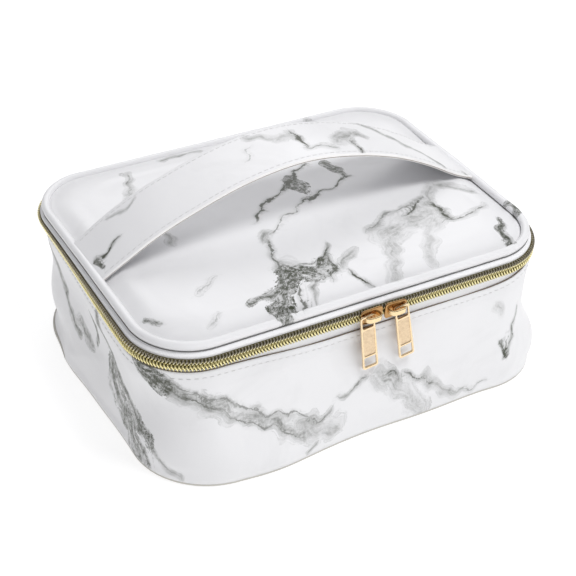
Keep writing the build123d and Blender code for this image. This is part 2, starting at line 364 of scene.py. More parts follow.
def stitches(centres, directions, normals, length=2.1):
    """Short rounded threads lying on a surface."""
    along = np.array([-1, -0.8, 0, 0.8, 1]) * length / 2
    girth = np.array([0.35, 0.85, 1, 0.85, 0.35])
    angles = np.linspace(0, 2 * math.pi, 6, endpoint=False)
    side = np.cross(normals, directions)
    parts = []
    faces = shell_faces(len(along), len(angles))
    for centre, ahead, normal, across in zip(centres, directions, normals, side):
        spot = centre + ahead * along[:, None, None]
        spot = spot + across * (girth[:, None] * np.cos(angles) * STITCH_WIDTH / 2)[..., None]
        spot = spot + normal * (girth[:, None] * np.sin(angles) * STITCH_HEIGHT)[..., None]
        parts.append((spot.reshape(-1, 3), faces))
    return join_parts(parts)


# ---------------------------------------------------------------- materials
class Nodes:
    """Small helper for building one material's nodes."""

    def __init__(self, name):
        self.material = bpy.data.materials.new(name)
        self.material.use_nodes = True
        self.tree = self.material.node_tree
        self.shader = self.tree.nodes["Principled BSDF"]

    def add(self, kind, **inputs):
        node = self.tree.nodes.new(kind)
        for key, value in inputs.items():
            self.feed(node.inputs[key], value)
        return node

    def feed(self, socket, value):
        if isinstance(value, bpy.types.NodeSocket):
            self.tree.links.new(value, socket)
        else:
            socket.default_value = value

    def set(self, **values):
        for key, value in values.items():
            self.feed(self.shader.inputs[key.replace("_", " ")], value)

    def math(self, operation, first, second=0.0, third=0.0, clamp=False):
        node = self.tree.nodes.new("ShaderNodeMath")
        node.operation = operation
        node.use_clamp = clamp
        for socket, value in zip(node.inputs, (first, second, third)):
            self.feed(socket, value)
        return node.outputs[0]

    def plus(self, first, second):
        return self.math("ADD", first, second)

    def less(self, first, second):
        return self.math("SUBTRACT", first, second)

    def times(self, first, second):
        return self.math("MULTIPLY", first, second)

    def fit(self, value, scale, shift):
        """The value times scale, plus shift."""
        return self.math("MULTIPLY_ADD", value, scale, shift)

    def ramp(self, value, low, high, start=0.0, stop=1.0):
        """Smooth step from start to stop as value goes from low to high."""
        node = self.tree.nodes.new("ShaderNodeMapRange")
        node.interpolation_type = "SMOOTHSTEP"
        for socket, item in zip(node.inputs, (value, low, high, start, stop)):
            self.feed(socket, item)
        return node.outputs[0]

    def mix(self, factor, first, second):
        node = self.tree.nodes.new("ShaderNodeMix")
        node.data_type = "RGBA"
        self.feed(node.inputs["Factor"], factor)
        self.feed(node.inputs["A"], first)
        self.feed(node.inputs["B"], second)
        return node.outputs["Result"]

    def attribute(self, name):
        node = self.tree.nodes.new("ShaderNodeAttribute")
        node.attribute_name = name
        return node

    def rest(self):
        """Place of each point at rest, in millimetres."""
        return self.attribute("rest_mm").outputs["Vector"]

    def axes(self):
        """The three measures of the rest place."""
        return self.add("ShaderNodeSeparateXYZ", Vector=self.rest()).outputs

    def noise(self, scale, detail, roughness, vector=None, distortion=0.0):
        node = self.add("ShaderNodeTexNoise", Vector=vector if vector else self.rest(), Scale=scale)
        for key, value in (("Detail", detail), ("Roughness", roughness), ("Distortion", distortion)):
            node.inputs[key].default_value = value
        return node.outputs["Fac"]

    def shifted(self, offset):
        """Rest place moved aside, for a second independent noise."""
        node = self.tree.nodes.new("ShaderNodeVectorMath")
        node.operation = "ADD"
        self.feed(node.inputs[0], self.rest())
        node.inputs[1].default_value = offset
        return node.outputs[0]

    def bump(self, height, strength, distance_mm, normal=None):
        node = self.tree.nodes.new("ShaderNodeBump")
        node.inputs["Strength"].default_value = strength
        node.inputs["Distance"].default_value = distance_mm * MM
        self.feed(node.inputs["Height"], height)
        if normal:
            self.feed(node.inputs["Normal"], normal)
        return node.outputs["Normal"]


def leather_grain(nodes):
    """Fine pebbled grain and slight waviness of coated fabric."""
    pebble = nodes.add("ShaderNodeTexVoronoi", Vector=nodes.rest(), Scale=1.5)
    pebble.feature = "SMOOTH_F1"
    fine = nodes.bump(pebble.outputs["Distance"], 0.18, 0.05)
    wave = nodes.noise(0.05, 3.0, 0.55)
    return nodes.bump(wave, 0.35, 1.2, fine)


PAPER = (0.80, 0.80, 0.81, 1)
INK = (0.05, 0.056, 0.036, 1)
VEIN_FIELDS = ("vein_gap", "vein_side", "vein_ink", "vein_wash", "vein_tone", "vein_run", "vein_cross")


def marble_material():
    """White coated fabric printed with grey-green marble veins."""
    nodes = Nodes("marble_print")
    gap, side, ink, wash, tone, run, cross = (nodes.attribute(name).outputs["Fac"] for name in VEIN_FIELDS)

    jagged = nodes.noise(0.4, 4.0, 0.6, nodes.shifted((40, 7, 90)))
    wiggle = nodes.fit(nodes.less(jagged, 0.5), 3.0, side)
    offset = nodes.math("MAXIMUM", nodes.math("ABSOLUTE", wiggle), nodes.less(gap, 1.5))
    width = nodes.noise(0.2, 3.0, 0.7, nodes.shifted((-30, 60, 20)))
    width = nodes.ramp(width, 0.36, 0.66, 0.16, 1.25)
    width = nodes.times(width, nodes.fit(ink, 0.95, 0.25))
    line = nodes.ramp(nodes.math("DIVIDE", offset, width), 0.4, 1.6, 1.0, 0.0)
    line = nodes.times(line, nodes.fit(ink, 1.0, 0.22))
    halo = nodes.times(nodes.ramp(offset, 0.3, 3.4, 0.34, 0.0), ink)
    halo = nodes.times(halo, nodes.ramp(jagged, 0.3, 0.7, 1.5, 0.3))

    # streaks run along the strokes, and the wash follows them
    flow_place = nodes.add("ShaderNodeCombineXYZ", X=nodes.times(run, 0.2), Y=cross, Z=nodes.times(tone, 9.0))
    streak = nodes.noise(0.42, 5.0, 0.62, flow_place.outputs[0], 0.5)
    cloud = nodes.noise(0.14, 4.0, 0.6, nodes.shifted((11, -33, 5)))
    flow = nodes.fit(nodes.less(streak, 0.5), 0.95, wash)
    flow = nodes.fit(nodes.less(cloud, 0.5), 0.6, flow)
    ragged = nodes.noise(0.55, 6.0, 0.72, nodes.shifted((3, 47, 12)), 0.3)
    strong = nodes.ramp(tone, 0.2, 0.8)
    ragged = nodes.times(nodes.less(ragged, 0.5), nodes.fit(strong, 0.5, 0.15))
    flow = nodes.plus(ragged, flow)
    inside = nodes.ramp(wash, 0.03, 0.2)
    soft = nodes.noise(0.05, 2.0, 0.5, nodes.shifted((90, 3, -8)))
    soft = nodes.ramp(soft, 0.4, 0.62, 0.1, 0.5)
    fading = nodes.plus(soft, nodes.fit(strong, -0.55, 0.55))
    patch = nodes.math("DIVIDE", nodes.less(flow, 0.3), fading, clamp=True)
    speck = nodes.noise(0.42, 7.0, 0.78, nodes.shifted((-21, 5, 64)), 0.4)
    plain = nodes.fit(strong, -0.45, 0.75)
    mottle = nodes.ramp(nodes.fit(streak, 0.35, nodes.times(speck, 0.65)), 0.42, 0.6, plain, 1.3)
    tone = nodes.times(tone, nodes.fit(strong, -0.7, 1.65))
    patch = nodes.times(nodes.times(patch, tone), nodes.times(mottle, inside))

    ridge = nodes.math("ABSOLUTE", nodes.less(streak, 0.52))
    ridge = nodes.ramp(ridge, 0.004, 0.03, 1.0, 0.0)
    ridge = nodes.times(ridge, nodes.ramp(flow, 0.36, 0.55))
    border = nodes.math("ABSOLUTE", nodes.less(flow, 0.4))
    border = nodes.times(nodes.ramp(border, 0.008, 0.06, 1.0, 0.0), nodes.ramp(soft, 0.1, 0.4, 1.0, 0.1))
    fibres = nodes.times(nodes.math("MAXIMUM", ridge, border), inside)
    fibres = nodes.times(fibres, nodes.fit(strong, 0.75, 0.22))
    contours = nodes.math("MAXIMUM", patch, fibres)

    faint = nodes.noise(0.02, 4.0, 0.6, nodes.shifted((70, 2, 31)), 1.2)
    tint = nodes.ramp(faint, 0.5, 0.72, 0.0, 0.05)

    dark = nodes.plus(contours, nodes.plus(tint, halo))
    dark = nodes.math("MAXIMUM", line, dark, clamp=True)
    nodes.set(Base_Color=nodes.mix(dark, PAPER, INK), Roughness=0.4, Coat_Weight=0.15, Coat_Roughness=0.25)
    nodes.set(Normal=leather_grain(nodes))
    return nodes.material


def dim(colour, share):
    """The colour with its light cut to a share."""
    return tuple(c * share for c in colour[:3]) + (1,)


def coated_material(name, colour, roughness=0.42):
    """Plain coated fabric."""
    nodes = Nodes(name)
    cloud = nodes.noise(0.06, 4.0, 0.6)
    nodes.set(Base_Color=nodes.mix(nodes.ramp(cloud, 0.35, 0.75), colour, dim(colour, 0.93)))
    nodes.set(Roughness=roughness, Coat_Weight=0.12, Coat_Roughness=0.3, Normal=leather_grain(nodes))
    return nodes.material


def woven_material(name, colour, thread_mm, depth_mm, sheen=0.3, dark=0.72):
    """Woven tape or cloth: two crossing sets of threads."""
    nodes = Nodes(name)
    x, y, z = nodes.axes()
    turn = 2 * math.pi / thread_mm
    flat = nodes.plus(x, y)
    rise = nodes.plus(z, nodes.times(y, 0.35))
    warp = nodes.math("SINE", nodes.times(flat, turn))
    weft = nodes.math("SINE", nodes.times(nodes.less(rise, nodes.times(x, 0.3)), turn))
    weave = nodes.fit(nodes.times(warp, weft), 0.5, 0.5)
    fuzz = nodes.noise(1.6, 3.0, 0.7)
    height = nodes.fit(fuzz, 0.5, weave)
    # the low places of the weave are coloured darker: painted shade in its hollows
    shade = nodes.ramp(height, 0.2, 1.2)
    nodes.set(Base_Color=nodes.mix(shade, dim(colour, dark), colour), Roughness=0.85, Sheen_Weight=sheen)
    nodes.set(Normal=nodes.bump(height, 0.5, depth_mm))
    return nodes.material


def foam_material():
    """Open-cell foam."""
    nodes = Nodes("foam_padding")
    cells = nodes.add("ShaderNodeTexVoronoi", Vector=nodes.rest(), Scale=2.2).outputs["Distance"]
    # the pits round each cell's middle are coloured darker: painted shade in the pores
    shade = nodes.ramp(cells, 0.1, 0.7)
    nodes.set(Base_Color=nodes.mix(shade, (0.5, 0.5, 0.47, 1), (0.72, 0.72, 0.69, 1)), Roughness=0.95)
    nodes.set(Normal=nodes.bump(cells, 0.6, 0.3))
    return nodes.material


def board_material():
    """Grey fibre board."""
    nodes = Nodes("fibre_board")
    speck = nodes.noise(0.9, 5.0, 0.7)
    nodes.set(Base_Color=nodes.mix(nodes.ramp(speck, 0.3, 0.7), (0.2, 0.19, 0.18, 1), (0.3, 0.29, 0.27, 1)))
    nodes.set(Roughness=0.9, Normal=nodes.bump(speck, 0.4, 0.1))
    return nodes.material


def gold_metal(name, colour, roughness):
    """Polished plated metal with faint brushing and tiny marks."""
    nodes = Nodes(name)
    marks = nodes.noise(0.9, 6.0, 0.7)
    shade = nodes.mix(nodes.ramp(marks, 0.35, 0.7), colour, dim(colour, 0.9))
    rough = nodes.ramp(marks, 0.3, 0.75, roughness * 0.8, roughness * 1.5)
    nodes.set(Base_Color=shade, Metallic=1.0, Roughness=rough)
    nodes.set(Normal=nodes.bump(nodes.noise(0.5, 3.0, 0.6), 0.12, 0.2))
    return nodes.material


def coil_material(name, colour, shade_from, shade_to):
    """Metallised nylon monofilament with faint random wear, darkened towards one height by painted shade
    along its sewn edge.
    """
    nodes = Nodes(name)
    height = nodes.axes()[2]
    wear = nodes.noise(0.35, 4.0, 0.65)
    # painted shade towards the sewn edge of the row, plus faint random wear
    wear_and_shade = nodes.fit(nodes.ramp(height, shade_from, shade_to), 0.85, nodes.ramp(wear, 0.4, 0.8, 0, 0.2))
    nodes.set(Base_Color=nodes.mix(wear_and_shade, colour, (0.34, 0.31, 0.26, 1)), Metallic=0.9, Roughness=0.22)
    nodes.set(Normal=nodes.bump(nodes.noise(3.0, 2.0, 0.5), 0.1, 0.05))
    return nodes.material


def thread_material(name, colour):
    """Twisted sewing thread."""
    nodes = Nodes(name)
    x, y, z = nodes.axes()
    lay = nodes.plus(nodes.plus(x, y), z)
    twist = nodes.math("SINE", nodes.times(lay, 14.0))
    # the grooves of the twist are coloured darker: painted shade
    shade = nodes.mix(nodes.ramp(twist, -1.0, 1.0), dim(colour, 0.7), colour)
    nodes.set(Base_Color=shade, Roughness=0.6)
    nodes.set(Normal=nodes.bump(twist, 0.5, 0.08))
    return nodes.material


MARBLE = marble_material()
# The bead round the foot is white piping, coloured grey here: painted contact shade along the foot.
FOOT_PIPING_SHADED = coated_material("foot_piping_painted_shade", (0.52, 0.505, 0.46, 1), 0.45)
WHITE_LEATHER = coated_material("white_leather", (0.8, 0.8, 0.81, 1))
EDGE_PAINT = coated_material("edge_paint", (0.9, 0.89, 0.88, 1), 0.5)
RAW_EDGE = woven_material("raw_edge", (0.26, 0.205, 0.16, 1), 0.5, 0.1, sheen=0.0)
# Dark ring in the seam under the lid's piping: painted shade of the seam's crease.
SEAM_CREASE_SHADE = woven_material("seam_crease_shade", (0.16, 0.155, 0.15, 1), 0.5, 0.1, sheen=0.0)
ZIP_TAPE = woven_material("zip_tape", (0.88, 0.88, 0.89, 1), 0.7, 0.08, dark=0.92)
LINING_CLOTH = woven_material("lining_cloth", (0.42, 0.42, 0.44, 1), 0.5, 0.05)
BINDING = woven_material("binding_tape", (0.36, 0.36, 0.38, 1), 0.9, 0.15)
FOAM_MATERIAL = foam_material()
BOARD = board_material()
# Two copies of one coil finish, each darkened by painted shade towards its sewn edge; on the upper row this
# darkens its upper part under the piping.
COIL_BRIGHT = coil_material("coil_bright", (0.95, 0.86, 0.46, 1), 64.0, 62.0)
COIL_UPPER_SHADED = coil_material("coil_upper_painted_shade", (0.95, 0.88, 0.52, 1), 68.9, 70.0)
# Strip behind each coil row: its cord, coloured near black as painted shade seen through the gaps between the
# turns.
COIL_CORD_AND_SHADE = woven_material("coil_cord_and_shade", (0.10, 0.085, 0.03, 1), 0.6, 0.1, sheen=0.0)
SLIDER_GOLD = gold_metal("slider_gold", (0.95, 0.74, 0.44, 1), 0.16)
# Darker copy of the slider's gold for the plates, flanges and core under the arch: painted shade.
SLIDER_SHADED = gold_metal("slider_painted_shade", (0.5, 0.29, 0.12, 1), 0.2)
PULL_GOLD = gold_metal("pull_gold", (0.94, 0.74, 0.48, 1), 0.18)
PULL_SATIN = gold_metal("pull_satin", (0.84, 0.66, 0.45, 1), 0.42)
WHITE_THREAD = thread_material("white_thread", (0.82, 0.82, 0.82, 1))


# ---------------------------------------------------------------- marble veins
# Each stroke of the print: ink of its line, tone and half width of the grey wash round it, the
# place where it starts, its heading and the bend over its length in degrees, and its length.
# Places are x, y on the lid; run, height on the wall; and distance from the middle of the strap,
# distance across it on the strap.
LID_VEINS = (
    # two long veins from under the strap down to the dark clump
    (0.85, 0.2, 1, 30, 35, 215, 0, 65),
    (0.3, 0.85, 3.5, 14, 24, 265, 0, 12),
    (0.9, 0.1, 1, 45, 15, 200, 0, 42),
    (0.5, 0.8, 3, 40, 30, 285, 0, 15),
    (0.5, 0, 0, 5, 0, 210, 0, 30),
    (0.5, 0.4, 2.5, -20, -15, 200, 40, 10),
    (0.6, 0.15, 1.5, -24, -18, 235, 60, 34),
    # the dark clump and its branches
    (0.6, 0.85, 4, -30, -50, 350, 10, 20),
    (0.6, 0.85, 4, -28, -50, 235, 0, 30),
    (0.6, 0.85, 3, -46, -68, 350, 0, 8),
    (0.5, 0.6, 2.5, -55, -60, 5, 0, 22),
    (0.7, 0.25, 1.5, -14, -50, 40, 0, 20),
    (0.7, 0.3, 2, -4, -44, 255, 0, 18),
    (0, 0.32, 6, -26, -44, 320, 0, 18),
    (0.6, 0, 0, -26, -58, 240, 0, 17),
    (0.2, 0.35, 1.5, -20, -58, 245, 0, 15),
    # short strokes between the clump and the grey cloud
    (0.3, 0.35, 2.5, 10, -45, 225, 0, 16),
    (0.8, 0.2, 1.3, 0, -58, 285, 0, 14),
    # the grey cloud at the right, with a lined upper edge
    (0.45, 0.15, 2, 25, -35, 20, 0, 45),
    (0.7, 0.3, 2, 50, -32, 15, 20, 22),
    (0, 0.3, 7, 32, -42, 10, 10, 34),
    (0, 0.28, 4, 32, -42, 245, 0, 32),
    (0, 0.2, 3.5, 66, -38, 230, 0, 36),
    (0.85, 0.35, 2, 70, -26, 260, 0, 18),
    (0.5, 0.1, 2, 66, -44, 5, 15, 30),
    (0.3, 0.3, 3.5, 80, -12, 230, 0, 20),
    (0.3, 0.25, 3, 82, -12, 315, 0, 20),
    # right end and front left
    (0.6, 0.65, 2.3, 94, -54, 245, 0, 18),
    (0.2, 0.05, 1, -75, -45, 25, 0, 16),
    (0.2, 0.1, 1.5, -80, -66, 25, 0, 10),
    (0.3, 0.3, 2, -68, 8, 265, 0, 10),
    # behind the strap
    (0.3, 0.35, 2.5, -60, 70, 265, -40, 52),
    (0.3, 0.35, 2, -36, 76, 5, 0, 24),
    (0.5, 0.35, 3, 60, 80, 280, 60, 55),
    (0.4, 0.2, 2, 0, 70, 345, 40, 36),
    # small marks at the ends of the strap
    (0.5, 0.6, 2, 110, -42, 270, 0, 8),
    (0.5, 0.5, 1.5, -104, -48, 320, 0, 7),
)
STRAP_VEINS = (
    (0.3, 0.25, 2, -15, 15, 335, 0, 17),
    (0.25, 0.2, 2.5, -4, 4, 10, 0, 10),
    (0.75, 0.2, 1.5, 7, 10, 260, 20, 18),
    (0.4, 0.1, 2, 7, -8, 340, 0, 18),
    (0.3, 0, 0, -18, 5, 220, 0, 10),
    (0.35, 0.3, 4, 26, -6, 25, 0, 20),
    (0.7, 0.25, 1.5, 35, -4, 285, 0, 15),
    (0.4, 0.2, 1.5, 42, 5, 325, 0, 8),
    (0.3, 0.25, 1.5, -80, 13, 175, 0, 16),
    (0.75, 0.2, 1.3, -113, -4, 345, 20, 16),
    (0.8, 0.6, 1.5, -113, -5, 270, 0, 6),
    (0.3, 0.3, 1.5, 110, -14, 300, 0, 6),
    (0.5, 0.3, 2, 52, 18, 320, 0, 55),
)
WALL_VEINS = (
    # left side: a fine vein, then the dark band down to the front corner
    (0.55, 0.45, 2.5, -238, 50, 305, 40, 46),
    (0.5, 0.4, 3, -205, 32, 355, 0, 20),
    (0.5, 0.8, 2, -180, 48, 280, 0, 14),
    (0.65, 0.6, 2.5, -165, 60, 285, 30, 32),
    (0.6, 0.85, 5.5, -158, 34, 300, 25, 30),
    (0.5, 0.8, 7, -142, 18, 325, 0, 20),
    (0.65, 0.8, 3, -150, 34, 330, 10, 32),
    (0.4, 0.3, 1.5, -122, 22, 315, 0, 24),
    # front: the lined band that falls from the corner and flattens out
    (0.6, 0.85, 3, -122, 60, 335, 0, 17),
    (0.5, 0.1, 1, -116, 60, 345, -20, 44),
    (0.45, 0, 0, -78, 43, 328, 10, 46),
    (0.6, 0.1, 1, -108, 52, 335, -10, 28),
    (0.5, 0.1, 1, -84, 40, 322, 14, 50),
    (0, 0.33, 4, -108, 53, 335, 0, 22),
    (0, 0.28, 4.5, -90, 45, 325, 10, 55),
    (0, 0.25, 6, -44, 19, 330, 0, 20),
    (0.5, 0.35, 1.8, -42, 20, 340, 60, 16),
    # front, under the sliders and to the right of them
    (0.5, 0.25, 1.6, -20, 28, 20, -10, 20),
    (0.5, 0.3, 1.6, -40, 4, 60, 0, 5),
    (0, 0.36, 5.5, 6, 31, 312, 0, 36),
    (0.6, 0.2, 2, 8, 32, 325, 0, 12),
    (0.6, 0.25, 2, 22, 28, 340, 0, 20),
    (0.3, 0.27, 3.5, 34, 22, 330, 0, 26),
    (0.35, 0.05, 1, 55, 8, 0, 0, 22),
    # right corner
    (0.6, 0.25, 1.3, 94, 40, 245, 0, 16),
    (0.8, 0.65, 1.6, 85, 27, 300, 0, 7),
    (0.2, 0.2, 2, 78, 48, 320, 0, 7),
    # right side, back and back left
    (0.6, 0.5, 3, 120, 60, 315, 0, 76),
    (0.4, 0.28, 6, 150, 40, 10, 0, 58),
    (0.45, 0.2, 1.5, 198, 4, 45, 0, 54),
    (0.6, 0.6, 3, 250, 58, 325, 0, 92),
    (0.4, 0.25, 5, 295, 26, 20, -20, 58),
    (0.5, 0.4, 2.5, -352, 58, 325, -10, 82),
    (0.35, 0.25, 5, -318, 40, 5, 0, 62),
)
BASE_VEINS = ((0.5, 0.4, 6, -120, -20, 15, 0, 250),)

# Length of a stroke's pieces, its swings in degrees, and the gap where there is no stroke.
STROKE_STEP = 3.0
WIDE_SWING = 13.0
FINE_SWING = 11.0
FAR_AWAY = 60.0


def stroke_path(x, y, heading, bend, reach):
    """Places along one stroke: an arc from its start whose heading swings to and fro."""
    steps = max(2, round(reach / STROKE_STEP))
    done = (np.arange(steps) + 0.5) * reach / steps
    swing = WIDE_SWING * np.sin(done / 6.1 + x) + FINE_SWING * np.sin(done / 2.3 + y)
    angle = np.radians(heading + bend * done / reach + swing)
    moves = np.stack([np.cos(angle), np.sin(angle)], -1) * reach / steps
    start = np.array([[x, y]], float)
    return np.concatenate([start, start + np.cumsum(moves, axis=0)])


def drift(places):
    """Places moved a little, so that strokes wander instead of running straight."""
    x, y = places[:, 0], places[:, 1]
    shift_x = 0.9 * np.sin(x / 3.1 + 1.7 * np.sin(y / 4.3)) + 0.6 * np.sin(y / 1.7 + x / 2.9)
    shift_y = 0.9 * np.sin(y / 2.9 + 1.9 * np.sin(x / 3.7) + 2.0) + 0.6 * np.sin(x / 1.9 - y / 3.3)
    return places + np.stack([shift_x, shift_y], -1)


def vein_fields(places, veins):
    """Fields that the print is drawn from, in the order of VEIN_FIELDS.

    Plain and signed distance to the nearest line, its ink, the wash with its tone, and the
    place along and across the nearest washed stroke.
    """
    places = drift(places)
    gap, side = np.full((2, len(places)), FAR_AWAY)
    ink, wash, tone, run, cross = np.zeros((5, len(places)))
    for strength, shade, spread, *stroke in veins:
        points = stroke_path(*stroke)
        lengths = np.hypot(*np.diff(points, axis=0).T)
        total = lengths.sum()
        done = 0.0
        for start, stop, length in zip(points[:-1], points[1:], lengths):
            ahead = (stop - start) / length
            offset = places - start
            along = np.clip(offset @ ahead, 0, length)
            away = offset - along[:, None] * ahead
            distance = np.hypot(away[:, 0], away[:, 1])
            fade = 0.45 + 0.55 * smooth(np.minimum(done + along, total - done - along), -1, 4)
            sign = np.where(ahead[0] * offset[:, 1] - ahead[1] * offset[:, 0] < 0, -1.0, 1.0)
            if strength:
                nearer = distance < gap
                gap = np.where(nearer, distance, gap)
                side = np.where(nearer, distance * sign, side)
                ink = np.where(nearer, strength * fade, ink)
            if shade:
                cover = np.clip(1 - distance / (2 * spread), 0, 1)
                tone = np.where(cover * shade > wash * tone, shade, tone)
                run = np.where(cover > wash, done + along, run)
                cross = np.where(cover > wash, distance * sign, cross)
                wash = np.maximum(wash, cover)
            done += length
    return gap, side, ink, wash, tone, run, cross


def print_veins(piece, places, veins):
    """Store the vein fields on a piece's points."""
    values = vein_fields(np.asarray(places, float), veins)
    for name, value in zip(VEIN_FIELDS, values):
        attribute = piece.data.attributes.new(name, "FLOAT", "POINT")
        attribute.data.foreach_set("value", value.astype(np.float32))


# ---------------------------------------------------------------- cloth over the padding
def swell(grid, cap, sewn):
    """How far the skin on a pad swells: cloth under pressure, held along its seams.

    grid runs round the case by rows; sewn lists the columns that are held. Returns the
    outward movement of each point in millimetres, which stays under cap.
    """
    rows, columns = grid.shape[:2]
    mesh = bpy.data.meshes.new("cloth")
    mesh.from_pydata((grid.reshape(-1, 3) * MM).tolist(), [], grid_faces(rows, columns, wrap_rows=True))
    cloth_piece = new_object("cloth", mesh)
    seam = cloth_piece.vertex_groups.new(name="seam")
    seam.add([i * columns + j for i in range(rows) for j in sewn], 1.0, "REPLACE")
    cloth = cloth_piece.modifiers.new("cloth", "CLOTH")
    cloth.settings.vertex_group_mass = "seam"
    cloth.settings.use_pressure = True
    cloth.settings.uniform_pressure_force = CLOTH_PRESSURE
    cloth.settings.effector_weights.gravity = 0
    cloth.settings.quality = 6
    cloth.collision_settings.use_collision = False
    cloth.point_cache.frame_end = CLOTH_FRAMES
    for number in range(1, CLOTH_FRAMES + 1):
        bpy.context.scene.frame_set(number)
    result = cloth_piece.evaluated_get(bpy.context.evaluated_depsgraph_get()).data
    moved = np.empty(rows * columns * 3)
    result.vertices.foreach_get("co", moved)
    moved = moved.reshape(rows, columns, 3) / MM - grid
    bpy.context.scene.frame_set(1)
    bpy.data.objects.remove(cloth_piece)
    outward = unit(np.cross(np.gradient(grid, axis=0), np.gradient(grid, axis=1)))
    push = (moved * outward).sum(2)
    return cap * np.tanh(push / cap)


def swell_padding():
    global wall_swell, lid_swell
    places = np.linspace(-HALF_RUN, HALF_RUN, SWELL_PLACES, endpoint=False)
    levels = np.linspace(WALL_BOTTOM, RIM_TOP, SWELL_LEVELS)
    wall = place(places[:, None], -SKIN, levels[None, :])
    border = zip_edge(LID_INSET - LID_LAP)(places)
    centre = border.mean(0)
    scale = np.linspace(1, CLOTH_HOLE, SWELL_LEVELS)[None, :, None]
    plan = centre + scale * (border[:, None] - centre)
    x, y = plan[..., 0], plan[..., 1]
    top = np.stack(slump(x, y, lid_height(x, y)), -1)
    wall_swell = swell(wall, WALL_SWELL_CAP, sewn=(0, SWELL_LEVELS - 1))
    lid_swell = swell(top, LID_SWELL_CAP, sewn=(0,))


# ---------------------------------------------------------------- wall
def rim_rise(run):
    """The wall's raw edge stands higher round the corners and the ends than along the front."""
    left = smooth(-run, FRONT_HALF - 62, FRONT_HALF + 6)
    right = smooth(run, FRONT_HALF - 12, FRONT_HALF + 26)
    back = 1 - 0.6 * smooth(np.abs(run), HALF_RUN - 110, HALF_RUN - 60)
    return 4.3 * (left + right) * back


def rim_levels(places, heights):
    """Heights moved up with the raised rim, at places along the zip line."""
    return heights + rim_rise(places) * smooth(heights, RIM_LOW - 12, RIM_TOP)


def wall_layer(name, outer, inner, bottom, material, replaces, step, rows=20):
    """Closed shell all round the case between two insets."""
    places = runs(-HALF_RUN, HALF_RUN, step)[:-1]
    heights = np.linspace(bottom, RIM_TOP, rows)
    levels = rim_levels(places[:, None], heights)
    outside = place(places[:, None], outer, levels)
    inside = place(places[:, None], inner, levels)
    grid = np.concatenate([outside, inside[:, ::-1]], axis=1)
    faces = shell_faces(*grid.shape[:2], closed=True)
    piece = new_piece(name, grid.reshape(-1, 3), faces, material, "body", replaces)
    return piece, places, heights


def build_wall():
    """Marble skin, its raw edge, the padding and the lining."""
    skin, places, heights = wall_layer(
        "wall_skin", -SKIN, 0.0, WALL_BOTTOM - 0.4, MARBLE, ["wall_outer"], 1.5, 46)
    skin.data.materials.append(RAW_EDGE)
    edge = np.zeros((len(places), 2 * len(heights)), np.int32)
    edge[:, len(heights) - 1] = 1
    skin.data.polygons.foreach_set("material_index", edge.ravel())
    levels = np.concatenate([heights, heights[::-1]])
    flat = np.stack(np.broadcast_arrays(places[:, None], levels[None, :]), -1).reshape(-1, 2)
    print_veins(skin, flat, WALL_VEINS)

    padding, _, _ = wall_layer(
        "wall_padding", 0.55, FOAM, 3.5, FOAM_MATERIAL, ["wall_foam"], 4.0)
    wall_layer("wall_lining", FOAM, FOAM + LINING, 4.0, LINING_CLOTH, ["wall_lining"], 3.0)


# ---------------------------------------------------------------- flat and crowned panels
def panel(name, edge, drop_top, drop_bottom, material, body, replaces, columns, rings, height,
          dip=slump):
    """Closed panel inside an outline: top and bottom faces and the edge between them.

    edge gives the outline's points in plan; height gives the top over a point in plan, and
    dip the soft give of a point. The lid's panels follow the swell of its padding.
    """
    border = edge(np.linspace(-HALF_RUN, HALF_RUN, columns, endpoint=False))
    centre = border.mean(0)
    scale = np.linspace(1, 0, rings + 1)[:-1]
    plan = centre + scale[:, None, None] * (border - centre)[None]
    flat = plan.reshape(-1, 2)
    flat = np.vstack([flat, centre])
    rise = height(flat[:, 0], flat[:, 1])
    if body == "lid":
        row, column = np.meshgrid(np.arange(columns) / columns, (1 - scale) / (1 - CLOTH_HOLE))
        lift = sample(lid_swell, row * SWELL_PLACES, column * (SWELL_LEVELS - 1)).ravel()
        rise = rise + np.append(lift, lid_swell[:, -1].mean())
    top = rise - drop_top
    bottom = rise - drop_bottom
    upper = np.column_stack(dip(flat[:, 0], flat[:, 1], top))
    lower = np.column_stack(dip(flat[:, 0], flat[:, 1], bottom))
    count = len(flat)
    faces = grid_faces(rings, columns, wrap_columns=True)
    last = (rings - 1) * columns
    faces += [(last + j, last + (j + 1) % columns, count - 1) for j in range(columns)]
    faces += [tuple(reversed([index + count for index in face])) for face in faces]
    faces += [(j, count + j, count + (j + 1) % columns, (j + 1) % columns) for j in range(columns)]
    points = np.vstack([upper, lower])
    piece = new_piece(name, points, faces, material, body, replaces)
    return piece, np.vstack([flat, flat])


def zip_edge(inset):
    """Outline parallel to the zip line, in plan."""

    def edge(run):
        x, y, _, _ = outline(run, ZIP_HALF_X - inset, ZIP_HALF_Y - inset, ZIP_CORNER - inset, ZIP_MIDDLE)
        return np.stack([x, y], -1)

    return edge


def base_edge(inset):
    """Outline parallel to the foot of the wall, in plan."""
    _, half_x, half_y, corner, middle = WALL_SECTIONS[0]

    def edge(run):
        x, y, nx, ny = outline(run, half_x - inset, half_y - inset, corner - inset, middle)
        x, y, _ = slump(x + nx * foot_bulge(run), y + ny * foot_bulge(run), 0 * x)
        return np.stack([x, y], -1)

    return edge


